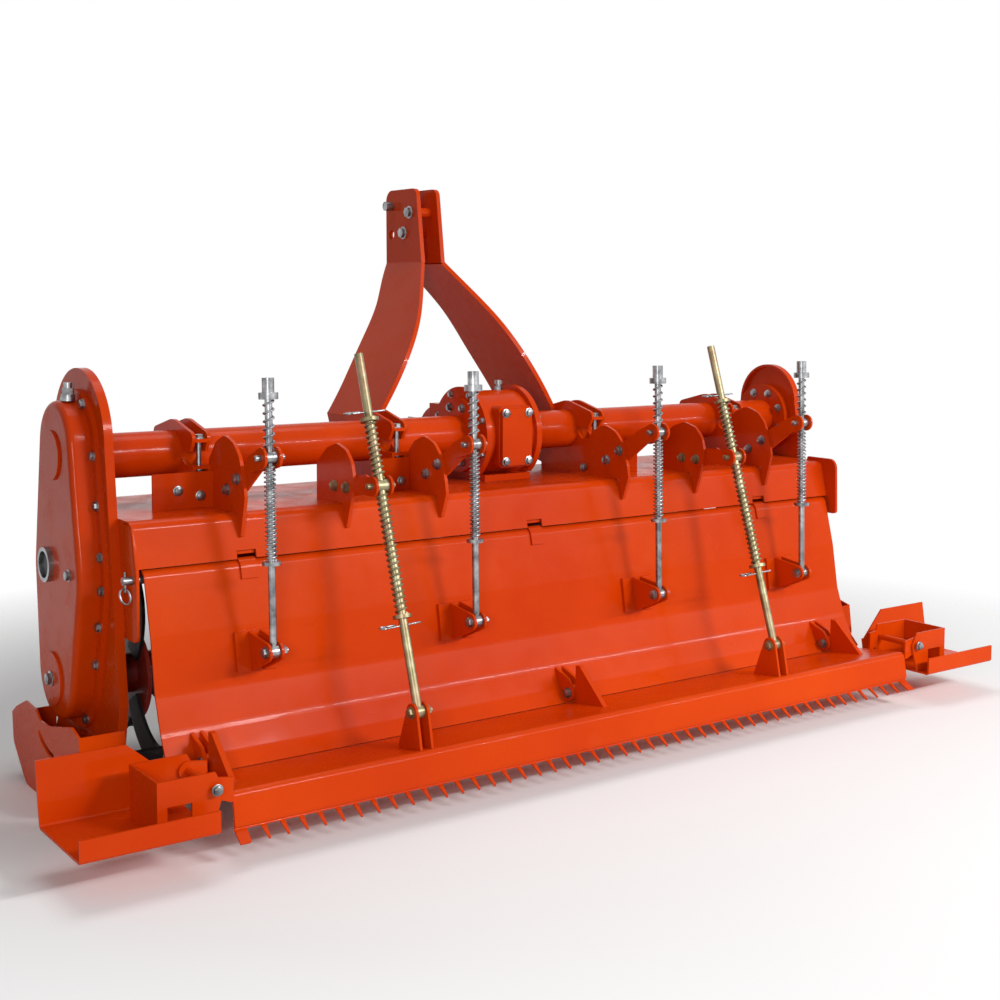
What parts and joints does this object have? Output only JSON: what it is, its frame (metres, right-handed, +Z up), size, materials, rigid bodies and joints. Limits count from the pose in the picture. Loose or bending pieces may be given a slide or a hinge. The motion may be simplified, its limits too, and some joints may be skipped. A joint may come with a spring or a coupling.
{
  "type": "rotavator",
  "caption": "Tractor-mounted rotary tiller with a side gear drive, bladed rotor, hinged spring-loaded apron, trailing leveller with folding end trays, and a three-point hitch.",
  "frame": {"origin": "middle of the machine's outline on the ground it stands on", "axes": "+X along the rotor away from the gear drive, +Y forward towards the tractor, +Z up"},
  "size_m": [2.618, 1.0547, 1.397],
  "materials": {
    "orange_paint": "gloss",
    "rotor_red": "gloss",
    "dark_steel": "satin",
    "zinc": "satin",
    "yellow_zinc": "satin"
  },
  "bodies": {
    "frame": {"main_tube": "orange_paint", "tube_flanges": "orange_paint", "bearing_housings": "orange_paint", "mast_spacers": "orange_paint", "gearbox_housing": "orange_paint", "gearbox_cover": "orange_paint", "gearbox_seat": "orange_paint", "side_plate_left": "orange_paint", "side_plate_right": "orange_paint", "drive_case": "orange_paint", "case_pads": "orange_paint", "case_port": "zinc", "case_breather": "zinc", "skid_left": "orange_paint", "skid_right": "orange_paint", "hood_front": "orange_paint", "hood_top": "orange_paint", "hood_end_left": "orange_paint", "hood_end_right": "orange_paint", "hinge_rod": "zinc", "hinge_lugs": "orange_paint", "lobe_plates": "orange_paint", "spring_arms": "orange_paint", "adjuster_arms": "orange_paint", "pipe_clamps": "orange_paint", "hitch_plates_left": "orange_paint", "hitch_plates_right": "orange_paint", "hitch_pins": "zinc", "mast_left": "orange_paint", "mast_right": "orange_paint", "mast_pins": "zinc"},
    "rotor": {"rotor_shaft": "rotor_red", "rotor_flanges": "rotor_red", "blades_left_hand": "dark_steel", "blades_right_hand": "dark_steel"},
    "input_shaft": {"pto_shaft": "zinc"},
    "apron": {"apron_sheet": "orange_paint", "apron_straps": "orange_paint", "apron_clevises": "orange_paint", "apron_ears": "orange_paint"},
    "leveller": {"leveller_bar": "orange_paint", "leveller_comb": "orange_paint", "leveller_gussets": "orange_paint", "leveller_clevises": "orange_paint", "leveller_ends": "orange_paint"},
    "wing_left": {"wing_tray_left": "orange_paint", "wing_box_left": "orange_paint"},
    "wing_right": {"wing_tray_right": "orange_paint", "wing_box_right": "orange_paint"},
    "spring_swivels": {"spring_swivels": "zinc"},
    "spring_rods": {"spring_rods": "zinc", "springs_upper": "zinc", "springs_lower": "zinc"},
    "adjuster_swivels": {"adjuster_swivels": "yellow_zinc"},
    "adjuster_rods": {"adjuster_rods": "yellow_zinc", "adjuster_springs_upper": "yellow_zinc", "adjuster_springs_lower": "yellow_zinc"}
  },
  "joints": [
    {"name": "rotor_spin", "type": "hinge", "parent": "frame", "child": "rotor", "pos_m": [0, 0.12, 0.248], "axis": [-1, 0, 0], "continuous": true},
    {"name": "input_spin", "type": "hinge", "parent": "frame", "child": "input_shaft", "pos_m": [0.027, 0.42, 0.745], "axis": [0, 1, 0], "continuous": true},
    {"name": "apron_hinge", "type": "hinge", "parent": "frame", "child": "apron", "pos_m": [0, -0.132, 0.509], "axis": [-1, 0, 0], "range_deg": [0, 35]},
    {"name": "leveller_hinge", "type": "hinge", "parent": "apron", "child": "leveller", "pos_m": [0, -0.286, 0.145], "axis": [-1, 0, 0], "range_deg": [-6, 6]},
    {"name": "wing_left_hinge", "type": "hinge", "parent": "leveller", "child": "wing_left", "pos_m": [-1.03, -0.421, 0.161], "axis": [0, 1, 0], "range_deg": [0, 90]},
    {"name": "wing_right_hinge", "type": "hinge", "parent": "leveller", "child": "wing_right", "pos_m": [1.03, -0.421, 0.161], "axis": [0, -1, 0], "range_deg": [0, 90]},
    {"name": "spring_swivel_hinge", "type": "hinge", "parent": "frame", "child": "spring_swivels", "pos_m": [0, -0.268, 0.764], "axis": [-1, 0, 0], "range_deg": [0, 12.8]},
    {"name": "spring_rod_slide", "type": "slide", "parent": "spring_swivels", "child": "spring_rods", "axis": [0, 0.0268, 0.9996], "range_m": [0, 0.102], "deforming": ["springs_upper", "springs_lower"]},
    {"name": "adjuster_swivel_hinge", "type": "hinge", "parent": "frame", "child": "adjuster_swivels", "pos_m": [0, -0.279, 0.687], "axis": [-1, 0, 0], "range_deg": [0, 28.9]},
    {"name": "adjuster_rod_slide", "type": "slide", "parent": "adjuster_swivels", "child": "adjuster_rods", "axis": [0, 0.3138, 0.9495], "range_m": [0, 0.132], "deforming": ["adjuster_springs_upper", "adjuster_springs_lower"]}
  ],
  "couplings": [
    {"joint": "input_spin", "follows": "rotor_spin", "ratio": 2.57},
    {"joint": "spring_swivel_hinge", "follows": "apron_hinge", "ratio": 0.362},
    {"joint": "spring_rod_slide", "follows": "apron_hinge", "m_per_rad": 0.1655},
    {"joint": "adjuster_swivel_hinge", "follows": "apron_hinge", "ratio": 0.82},
    {"joint": "adjuster_rod_slide", "follows": "apron_hinge", "m_per_rad": 0.2145}
  ]
}
